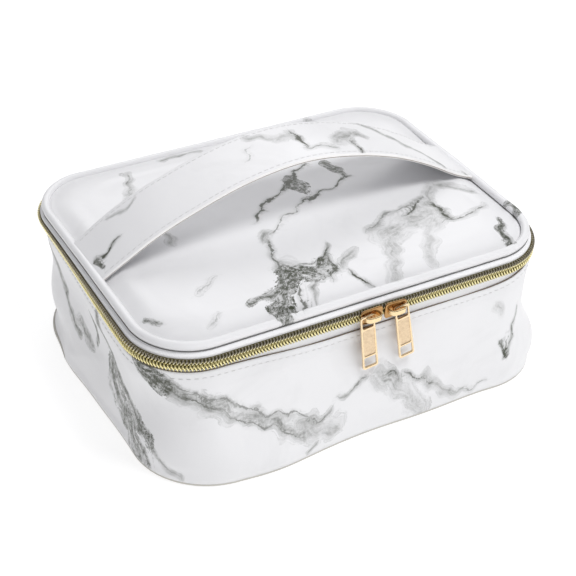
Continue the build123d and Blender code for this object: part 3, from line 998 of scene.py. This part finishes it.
def build_base():
    """Base skin, board, lining and the bead round the foot."""
    def level(height):
        return lambda x, y: np.full_like(x, height)

    def still(x, y, z):
        return x, y, z

    skin, flat = panel("base_skin", base_edge(2.6), 0, SKIN, MARBLE, "body",
                       ["base_outer"], 160, 14, level(SKIN), still)
    print_veins(skin, flat, BASE_VEINS)
    panel("base_stiffener", base_edge(3.2), 0, 2.5, BOARD, "body",
          ["base_board"], 96, 6, level(3.4), still)
    panel("base_lining", base_edge(4.0), 0, LINING, LINING_CLOTH, "body",
          ["base_lining"], 96, 10, level(4.0), still)
    places = runs(-HALF_RUN, HALF_RUN, 2.0)[:-1]
    rim = base_edge(BEAD_RADIUS)(places)
    centres = np.column_stack([rim, np.full(len(rim), BEAD_RADIUS)])
    points, faces = tube(centres, BEAD_RADIUS, 10, closed=True)
    new_piece("base_bead", points, faces, FOOT_PIPING_SHADED, "body", ["base_piping"])


def build_lid():
    """Marble panel, padding, lining, piping and the binding inside the seam."""
    skin, flat = panel("lid_skin", zip_edge(LID_INSET - LID_LAP), 0, SKIN, MARBLE, "lid",
                       ["lid_outer"], 420, 62, lid_height)
    print_veins(skin, flat, LID_VEINS)
    foam_foot = SKIN + LID_FOAM
    padding, _ = panel("lid_padding", zip_edge(LID_INSET), SKIN, foam_foot, FOAM_MATERIAL, "lid",
                       ["lid_foam"], 128, 16, lid_height)
    panel("lid_lining", zip_edge(LID_INSET), foam_foot, foam_foot + LINING, LINING_CLOTH, "lid",
          ["lid_lining"], 128, 16, lid_height)
    places = runs(-HALF_RUN, HALF_RUN, 1.6)[:-1]
    centres = place(places, SEAM_INSET, PIPING_HEIGHT)
    girth = 1 + 0.02 * np.sin(places / 9.0) + 0.015 * np.sin(places / 4.1)
    points, faces = tube(centres, PIPING_RADIUS * girth, 14, closed=True)
    piping = new_piece("lid_piping", points, faces, MARBLE, "lid", ["lid_piping"])
    print_veins(piping, points[:, :2], LID_VEINS)
    # dark ring in the seam under the piping: painted shade of the crease
    centres = place(places, 1.7, SEAM_HEIGHT + 0.35)
    points, faces = tube(centres, 0.2, 6, closed=True)
    new_piece("lid_seam", points, faces, SEAM_CREASE_SHADE, "lid")
    profile = rounded_profile(
        ((SEAM_INSET + 0.6, SEAM_HEIGHT - 1.9), (SEAM_INSET + 0.6, SEAM_HEIGHT - 0.1),
         (LID_INSET - 0.1, SEAM_HEIGHT - 0.1), (LID_INSET - 0.1, SEAM_HEIGHT - 1.9)), 0.4)
    ring_piece("lid_binding", profile, BINDING, "lid", ["lid_binding"], step=4.0)


# ---------------------------------------------------------------- zip
TAPE_FOLD = 72.3  # height where the upper tape turns in towards the lid's seam
TAPE_FOOT = RIM_LOW + 0.6
TAPE_GAP = 0.7  # from the zip line to the edge of either tape
LIP_TOP = SEAM_HEIGHT + 0.9
LIP_FOOT = SEAM_HEIGHT + 0.6
COIL_PITCH = 1.66
COIL_WIRE = 0.43
COIL_TURN_POINTS = 12
STITCH_PITCH = 3.6


def coil_row(start, stop, upper):
    """Flattened helix of one row of the coil, heads to the middle of the zip."""
    turns = int((stop - start) / COIL_PITCH)
    phase = np.arange(turns * COIL_TURN_POINTS + 1) / COIL_TURN_POINTS
    angle = 2 * math.pi * phase
    sign = 1 if upper else -1
    reach = 1.15 if upper else 1.55
    rise = reach * (1 - np.cos(angle)) + 0.22
    out = 1.12 + 0.68 * np.sin(angle)
    front = np.clip(np.sin(angle), 0, 1)
    run = start + COIL_PITCH * (phase + (0.5 if upper else 0.0)) + 0.42 * front * (rise - 1.6)
    return place(run, -out, ZIP_HEIGHT + 0.4 + sign * rise)


def build_zip():
    """Tapes, both rows of the coil, the binding at the rim and the stitches."""
    span = (-ZIP_END, ZIP_END)
    lower = rounded_profile(
        ((0, TAPE_FOOT), (0, ZIP_HEIGHT - TAPE_GAP), (TAPE, ZIP_HEIGHT - TAPE_GAP), (TAPE, TAPE_FOOT)), 0.15)
    ring_piece("zip_tape_lower", lower, ZIP_TAPE, "body", ["zip_tape_lower"], span)
    upper = rounded_profile(
        ((0, ZIP_HEIGHT + TAPE_GAP), (0, TAPE_FOLD), (SEAM_INSET - 0.4, LIP_TOP),
         (SEAM_INSET + 0.5, LIP_FOOT), (TAPE, TAPE_FOLD - 0.4), (TAPE, ZIP_HEIGHT + TAPE_GAP)), 0.5)
    ring_piece("zip_tape_upper", upper, ZIP_TAPE, "lid", ["zip_tape_upper"], span)
    rows = (("lower", False, "body", COIL_BRIGHT), ("upper", True, "lid", COIL_UPPER_SHADED))
    for name, is_upper, body, finish in rows:
        points, faces = tube(coil_row(*span, is_upper), COIL_WIRE, 7)
        new_piece("zip_coil_" + name, points, faces, finish, body, ["zip_coil_" + name])
        low, high = (0.15, 3.0) if is_upper else (-3.0, -0.15)
        low, high = ZIP_HEIGHT + low, ZIP_HEIGHT + high
        # the cord strip behind the row is near black: painted shade in the gaps of the coil
        cord = rounded_profile(((-0.02, low), (-0.02, high), (-0.75, high), (-0.75, low)), 0.2)
        ring_piece("zip_cord_and_shade_" + name, cord, COIL_CORD_AND_SHADE, body, (), span)
    binding = rounded_profile(
        ((TAPE, RIM_TOP + 0.6), (TAPE, RIM_TOP), (FOAM + LINING, RIM_TOP), (FOAM + LINING, RIM_TOP - 6),
         (FOAM + 2 * LINING, RIM_TOP - 6), (FOAM + 2 * LINING, RIM_TOP + 0.6)), 0.3)
    ring_piece("rim_binding", binding, BINDING, "body", ["rim_binding"], step=4.0)

    places = np.arange(-HALF_RUN, HALF_RUN, STITCH_PITCH)
    levels = rim_levels(places, RIM_TOP - 3.6)
    inset = -SKIN - 0.05  # the threads lie on the skin
    centres = place(places, inset, levels)
    before, after = (place(places + step, inset, levels) for step in (-0.5, 0.5))
    ahead = unit(after - before)
    points, faces = stitches(centres, ahead, np.cross(ahead, (0, 0, 1.0)))
    new_piece("rim_stitching", points, faces, WHITE_THREAD, "body")


def build_hinge():
    """Strip of coated fabric that joins the back of the lid to the body."""
    profile = rounded_profile(
        ((-0.6, RIM_TOP - 0.5), (-0.6, TAPE_FOLD), (SEAM_INSET - 0.8, LIP_TOP),
         (SEAM_INSET + 0.3, LIP_FOOT), (TAPE, TAPE_FOLD - 0.4), (TAPE, RIM_TOP - 0.5)), 0.4)
    dense = []
    for start, stop in zip(profile, np.roll(profile, -1, 0)):
        steps = max(1, int(np.linalg.norm(stop - start) / 0.6))
        dense += [start + (stop - start) * k / steps for k in range(steps)]
    dense = np.array(dense)
    half = HINGE_HALF + 1.5
    right = runs(HALF_RUN - half, HALF_RUN, 3.0)
    left = runs(-HALF_RUN, half - HALF_RUN, 3.0)
    strip = np.concatenate([right, left[1:]])
    grid = place(strip[:, None], dense[None, :, 0], dense[None, :, 1])
    piece = new_piece("back_hinge", grid.reshape(-1, 3), shell_faces(*grid.shape[:2]), WHITE_LEATHER, None,
                      ["hinge_lower", "hinge_upper"])
    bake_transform(piece)


# ---------------------------------------------------------------- strap handle
STRAP_HALF = 18.0
STRAP_THICK = 1.9
STRAP_SAMPLES = 241
STRAP_STITCH_PITCH = 3.4
STRAP_STITCH_END = 5  # plain length at each end
STRAP_MIDDLE = (node_box("handle_top")[0][1] + node_box("handle_top")[1][1]) / 2
STRAP_POINTS = np.array(
    [(-108.5, 75.4), (-104, 78.4), (-97, 83.0), (-80, 92.8), (-58, 101.8), (-30, 110.4), (3, 114.0),
     (32, 109.6), (58, 101.4), (80, 90.6), (95, 81.6), (103, 77.6), (108.5, 75.2)]
)


def curve_through(points, samples):
    """Smooth curve through points, evenly spaced."""
    points = np.asarray(points, float)
    knots = np.concatenate([[0], np.cumsum(np.linalg.norm(np.diff(points, axis=0), axis=1))])
    slopes = np.gradient(points, knots, axis=0)
    fine = np.linspace(0, knots[-1], samples)
    index = np.clip(np.searchsorted(knots, fine) - 1, 0, len(points) - 2)
    gap = (knots[index + 1] - knots[index])[:, None]
    t = (fine - knots[index])[:, None] / gap
    low, high = points[index], points[index + 1]
    return (
        (2 * t**3 - 3 * t**2 + 1) * low + (t**3 - 2 * t**2 + t) * gap * slopes[index]
        + (-2 * t**3 + 3 * t**2) * high + (t**3 - t**2) * gap * slopes[index + 1]
    )


def strap_frame(samples):
    """Underside line of the strap with its upward normals, in the plane of the arch."""
    line = curve_through(STRAP_POINTS, samples)
    ahead = unit(np.gradient(line, axis=0))
    normal = np.stack([-ahead[:, 1], ahead[:, 0]], -1)
    return line, ahead, normal


def strap_half(x):
    """Half width of the strap: a little narrower where it is gathered into the seam."""
    return STRAP_HALF - 0.8 * smooth(np.abs(x), 92, 108)


def strap_section():
    """Section of the strap: across from -1 to 1, height from 0 at the underside to 1."""
    turn = np.radians(np.linspace(60, -60, 5))
    side = 0.985 + 0.03 * np.cos(turn)
    top, foot = np.linspace(-1, 1, 37), np.linspace(1, -1, 19)
    across = np.concatenate([top * 0.985, side, foot * 0.985, -side])
    height = np.concatenate([1 + 0 * top, 0.5 + 0.5 * np.sin(turn), 0 * foot, 0.5 - 0.5 * np.sin(turn)])
    return across, height


def strap_point(line, normal, across, height):
    """Point of the strap for a place along it, across it and through it."""
    half = strap_half(line[:, 0])[:, None]
    crown = 0.7 * (1 - across**2) * (1 - smooth(np.abs(line[:, 0]), 90, 106))[:, None]
    lift = height * STRAP_THICK + crown
    x = line[:, :1] + normal[:, :1] * lift
    z = line[:, 1:] + normal[:, 1:] * lift
    y = STRAP_MIDDLE + across * half + 0 * x
    return np.stack([x, y, z], -1)


def build_handle():
    """Flat strap sewn under the piping at both ends, with painted edges and edge stitching."""
    line, ahead, normal = strap_frame(STRAP_SAMPLES)
    across, height = strap_section()
    across, height = across[None, :], height[None, :]
    grid = strap_point(line, normal, across, height)
    rows, columns = grid.shape[:2]
    faces = shell_faces(rows, columns)
    strap = new_piece("handle_strap", grid.reshape(-1, 3), faces, MARBLE, None,
                      ["handle_end_left", "handle_end_right", "handle_top", "handle_core",
                       "handle_underside"])
    strap.data.materials.append(EDGE_PAINT)
    painted = np.abs(across[0]) > 0.975
    painted &= np.roll(painted, -1)
    index = np.zeros(len(faces), np.int32)
    index[: (rows - 1) * columns] = np.tile(painted, rows - 1)
    strap.data.polygons.foreach_set("material_index", index)
    length = np.concatenate([[0], np.cumsum(np.linalg.norm(np.diff(line, axis=0), axis=1))])
    length -= length[np.argmax(line[:, 1])]
    flat = np.stack(np.broadcast_arrays(length[:, None], across * STRAP_HALF), -1).reshape(-1, 2)
    print_veins(strap, flat, STRAP_VEINS)

    spots = np.arange(length[0] + STRAP_STITCH_END, length[-1] - STRAP_STITCH_END, STRAP_STITCH_PITCH)
    places = np.concatenate([np.stack([spots, np.full_like(spots, row * 0.875)], -1) for row in (-1, 1)])
    spot_line, lay, up = (
        np.stack([np.interp(places[:, 0], length, values[:, k]) for k in (0, 1)], -1)
        for values in (line, ahead, normal)
    )
    centres = strap_point(spot_line, up, places[:, 1:], np.full((len(places), 1), 1.02))[:, 0]
    directions = np.stack([lay[:, 0], np.zeros(len(lay)), lay[:, 1]], -1)
    normals = np.stack([up[:, 0], np.zeros(len(up)), up[:, 1]], -1)
    points, thread_faces = stitches(centres, directions, normals, 2.4)
    thread = new_piece("handle_stitching", points, thread_faces, WHITE_THREAD, None)
    edges = [strap_point(line, normal, np.full((1, 1), side * 1.008), np.full((1, 1), 0.42))[:, 0]
             for side in (-1, 1)]
    points, glue_faces = join_parts([tube(edge, 0.2, 6) for edge in edges])
    glue_line = new_piece("handle_edge_line", points, glue_faces, RAW_EDGE, None)
    for item in (strap, thread, glue_line):
        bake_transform(item)


# ---------------------------------------------------------------- sliders and pulls
WELD_DISTANCE = 0.005
CREASE_ANGLE = math.radians(35)

# From a pull's post down to its foot and up to its top, and how far it tips forward.
PULL_BELOW = 29.0
PULL_ABOVE = 2.2
PULL_TILT = math.radians(-5.0)


def bevelled_plate(name, outlines, thickness, edge):
    """Flat plate with holes and softly rounded edges, lying in its XZ plane, y through it."""
    curve = bpy.data.curves.new(name, "CURVE")
    curve.dimensions = "2D"
    curve.fill_mode = "BOTH"
    curve.extrude = (thickness / 2 - edge) * MM
    curve.bevel_depth = edge * MM
    curve.bevel_resolution = 3
    curve.offset = -edge * MM
    for points in outlines:
        spline = curve.splines.new("POLY")
        spline.points.add(len(points) - 1)
        for target, (x, z) in zip(spline.points, points):
            target.co = (x * MM, z * MM, 0, 1)
        spline.use_cyclic_u = True
    holder = new_object(name, curve)
    bpy.context.view_layer.update()
    mesh = bpy.data.meshes.new_from_object(holder.evaluated_get(bpy.context.evaluated_depsgraph_get()))
    bpy.data.objects.remove(holder)
    bpy.data.curves.remove(curve)
    mesh.transform(Matrix.Rotation(math.radians(90), 4, "X"))
    points = np.zeros(len(mesh.vertices) * 3)
    mesh.vertices.foreach_get("co", points)
    faces = [tuple(polygon.vertices) for polygon in mesh.polygons]
    bpy.data.meshes.remove(mesh)
    return points.reshape(-1, 3) / MM, faces


def finish_faces(piece, material, count):
    """Give the first faces of a piece a second finish."""
    piece.data.materials.append(material)
    index = (np.arange(len(piece.data.polygons)) < count).astype(np.int32)
    piece.data.polygons.foreach_set("material_index", index)


def clean_metal(piece):
    """Merge the doubled points along the plates' edges and crease where faces meet sharply."""
    data = bmesh.new()
    data.from_mesh(piece.data)
    bmesh.ops.remove_doubles(data, verts=data.verts, dist=WELD_DISTANCE * MM)
    bmesh.ops.recalc_face_normals(data, faces=data.faces)
    data.normal_update()
    for edge in data.edges:
        edge.smooth = len(edge.link_faces) == 2 and edge.calc_face_angle(0) <= CREASE_ANGLE
    data.to_mesh(piece.data)
    data.free()


def bridge_band(reach, foot, top, width, thickness):
    """Arched bridge over the slider's face: a flat band with rounded edges."""
    path = []
    for angle in np.linspace(0, 90, 9):
        a = math.radians(angle)
        path.append((-reach - 0.3 + 2.2 * (1 - math.cos(a)), foot - (foot - top) * math.sin(a)))
    path += [(-x, y) for x, y in reversed(path)]
    path = curve_through(np.array(path), 60)
    ahead = unit(np.gradient(path, axis=0))
    normal = np.stack([ahead[:, 1], -ahead[:, 0]], -1)
    section = rectangle(-width / 2, -thickness / 2, width / 2, thickness / 2)
    ring = rounded_profile(section, thickness * 0.45, 4)
    girth = 0.82 + 0.18 * np.sin(np.linspace(0, math.pi, len(path)))
    x = path[:, None, 0] + normal[:, None, 0] * ring[None, :, 1]
    y = path[:, None, 1] + normal[:, None, 1] * ring[None, :, 1]
    z = girth[:, None] * ring[None, :, 0] + 0 * x
    points = np.stack([x, y, z], -1)
    return points.reshape(-1, 3), shell_faces(*points.shape[:2])


def build_slider(name, nose):
    """Zip slider: front plate with flanges, arched bridge, core and back plate."""
    low, high = node_box("slider_" + name)
    middle = np.array([(low[0] + high[0]) / 2, 0, ZIP_HEIGHT])
    half = (high[0] - low[0]) / 2
    front = coil_low[1] - 0.8  # middle of the front plate
    back = ZIP_MIDDLE - ZIP_HALF_Y + TAPE + 0.7
    shape = [(-nose * half, -4.0), (nose * half, -4.5), (nose * half, 4.5), (-nose * half, 4.0)]
    plate = bevelled_plate("plate", [rounded_profile(shape, 2.2, 5)], 1.0, 0.35)
    inner = [(x * 0.96, z * 0.86) for x, z in shape]
    rear = bevelled_plate("rear", [rounded_profile(inner, 1.8, 5)], 0.8, 0.25)
    flange = rounded_profile(rectangle(-4.8, -0.3, 4.8, 0.3), 0.2, 5)
    flange = bevelled_plate("flange", [flange], 2.0, 0.12)
    core = rounded_profile(rectangle(-1.6, -0.2, 1.6, 0.2), 0.1, 5)
    core = bevelled_plate("core", [core], back - front, 0.08)
    arch = bridge_band(4.1, front - 0.3, front - 3.6, 2.9, 1.1)
    parts = [
        (plate[0] + (0, front, 0), plate[1]),
        (rear[0] + (0, back, 0), rear[1]),
        (flange[0] + (0, front + 1.2, -3.75), flange[1]),
        (core[0] + (nose * (half - 2.1), (front + back) / 2, 0), core[1]),
        arch,
    ]
    points, faces = join_parts(parts)
    piece = new_piece("slider_" + name, points + middle, faces, SLIDER_GOLD, None,
                      ["slider_" + name])
    # all but the arch take the darker gold: painted shade under the bridge
    finish_faces(piece, SLIDER_SHADED, len(faces) - len(arch[1]))
    clean_metal(piece)
    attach(piece, "slider_" + name)


def build_pull(name, swing, shift):
    """Pull: a flat tab with an eye, a raised rim and a window near its foot."""
    joint = [j for j in frame["joints"] if j["name"] == "pull_" + name + "_swing"][0]
    pivot = Vector(joint["pos_m"])
    body = ((shift - 4.4, -PULL_BELOW), (shift + 4.4, -PULL_BELOW),
            (shift + 3.9, PULL_ABOVE), (shift - 3.9, PULL_ABOVE))
    body = rounded_profile(body, 1.5, 6)

    def hole(half, low, high, radius):
        return rounded_profile(rectangle(shift - half, low, shift + half, high), radius, 4)

    eye = hole(3.1, -4.8, 1.0, 1.0)
    window = hole(3.35, 1.3 - PULL_BELOW, 6.8 - PULL_BELOW, 0.7)
    face = hole(3.2, 7.9 - PULL_BELOW, -6.0, 0.8)
    tab = bevelled_plate("tab", [body, eye, window], 0.8, 0.2)
    rim = bevelled_plate("rim", [body, eye, window, face], 1.2, 0.28)
    points, faces = join_parts([(tab[0] + (0, 0.1, 0), tab[1]), rim])
    turn = Matrix.Translation(pivot / MM) @ Matrix.Rotation(math.radians(-swing), 4, "Y")
    turn = turn @ Matrix.Rotation(PULL_TILT, 4, "X")
    points = np.array([turn @ Vector(point) for point in points])
    piece = new_piece("pull_" + name, points, faces, PULL_GOLD, None, ["pull_" + name])
    finish_faces(piece, PULL_SATIN, len(tab[1]))
    clean_metal(piece)
    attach(piece, "pull_" + name)


# ---------------------------------------------------------------- floor, light and camera
FLOOR_HALF = 60.0  # metres

# Camera: where it looks from, its distance from the middle of the base, and its shift.
CAMERA_AZIMUTH = math.radians(-31.79)
CAMERA_ELEVATION = math.radians(36.39)
CAMERA_ROLL = math.radians(3.46)
CAMERA_DISTANCE = 782.78
CAMERA_RIGHT = 5.44
CAMERA_UP = 20.10
SENSOR_WIDTH = 36.0
FOCAL_LENGTH = 89.36875


def build_floor():
    """White paper floor."""
    corners = [(x, z, 0) for x, z in rectangle(-FLOOR_HALF, -FLOOR_HALF, FLOOR_HALF, FLOOR_HALF)]
    mesh = bpy.data.meshes.new("floor")
    mesh.from_pydata(corners, [], [(0, 1, 2, 3)])
    floor = new_object("floor", mesh)
    nodes = Nodes("floor_paper")
    nodes.set(Base_Color=(0.4, 0.4, 0.4, 1), Roughness=0.9)
    nodes.set(Emission_Color=(1, 1, 1, 1), Emission_Strength=0.76)
    mesh.materials.append(nodes.material)


def area_light(name, place, size, power, glossy):
    """Soft rectangular light aimed at the case; places and sizes in metres."""
    light = bpy.data.lights.new(name, "AREA")
    light.shape = "RECTANGLE"
    light.size, light.size_y = size
    light.energy = power
    lamp = new_object(name, light)
    lamp.location = place
    lamp.visible_glossy = glossy
    aim = Vector((0, 0, 0.05)) - Vector(place)
    lamp.rotation_euler = aim.to_track_quat("-Z", "Y").to_euler()


def build_lights():
    """Soft white light from all round, and three area lights."""
    world = bpy.data.worlds.new("studio")
    bpy.context.scene.world = world
    world.use_nodes = True
    background = world.node_tree.nodes["Background"]
    background.inputs["Color"].default_value = (0.97, 0.965, 1.0, 1)
    background.inputs["Strength"].default_value = 0.38
    bpy.context.scene.view_settings.view_transform = "Standard"
    area_light("rear", (0.45, 1.05, 1.05), (1.3, 0.9), 6.0, True)
    area_light("top", (0.24, -0.26, 1.05), (0.4, 0.4), 6.4, False)
    area_light("front", (-0.10, -1.30, 0.26), (1.4, 0.5), 3.6, False)


def build_camera():
    """Camera looking down at the near left corner."""
    lens = bpy.data.cameras.new("camera")
    lens.sensor_width = SENSOR_WIDTH
    lens.lens = FOCAL_LENGTH
    lens.clip_start = 0.01
    camera = new_object("camera", lens)
    level = math.cos(CAMERA_ELEVATION)
    back = Vector((
        math.sin(CAMERA_AZIMUTH) * level, -math.cos(CAMERA_AZIMUTH) * level, math.sin(CAMERA_ELEVATION)
    ))
    right = Vector((math.cos(CAMERA_AZIMUTH), math.sin(CAMERA_AZIMUTH), 0))
    up = back.cross(right)
    turned_right = right * math.cos(CAMERA_ROLL) + up * math.sin(CAMERA_ROLL)
    turned_up = up * math.cos(CAMERA_ROLL) - right * math.sin(CAMERA_ROLL)
    camera.matrix_world = Matrix((turned_right, turned_up, back)).transposed().to_4x4()
    spot = turned_right * CAMERA_RIGHT + turned_up * CAMERA_UP + back * CAMERA_DISTANCE
    camera.matrix_world.translation = (spot + Vector((0, ZIP_MIDDLE, 2.0))) * MM
    bpy.context.scene.camera = camera


build_floor()
build_lights()
build_camera()
swell_padding()
build_wall()
build_base()
build_lid()
build_zip()
build_hinge()
build_handle()
build_slider("left", 1)
build_slider("right", -1)
build_pull("left", 6.0, 0.6)
build_pull("right", 9.0, -1.5)
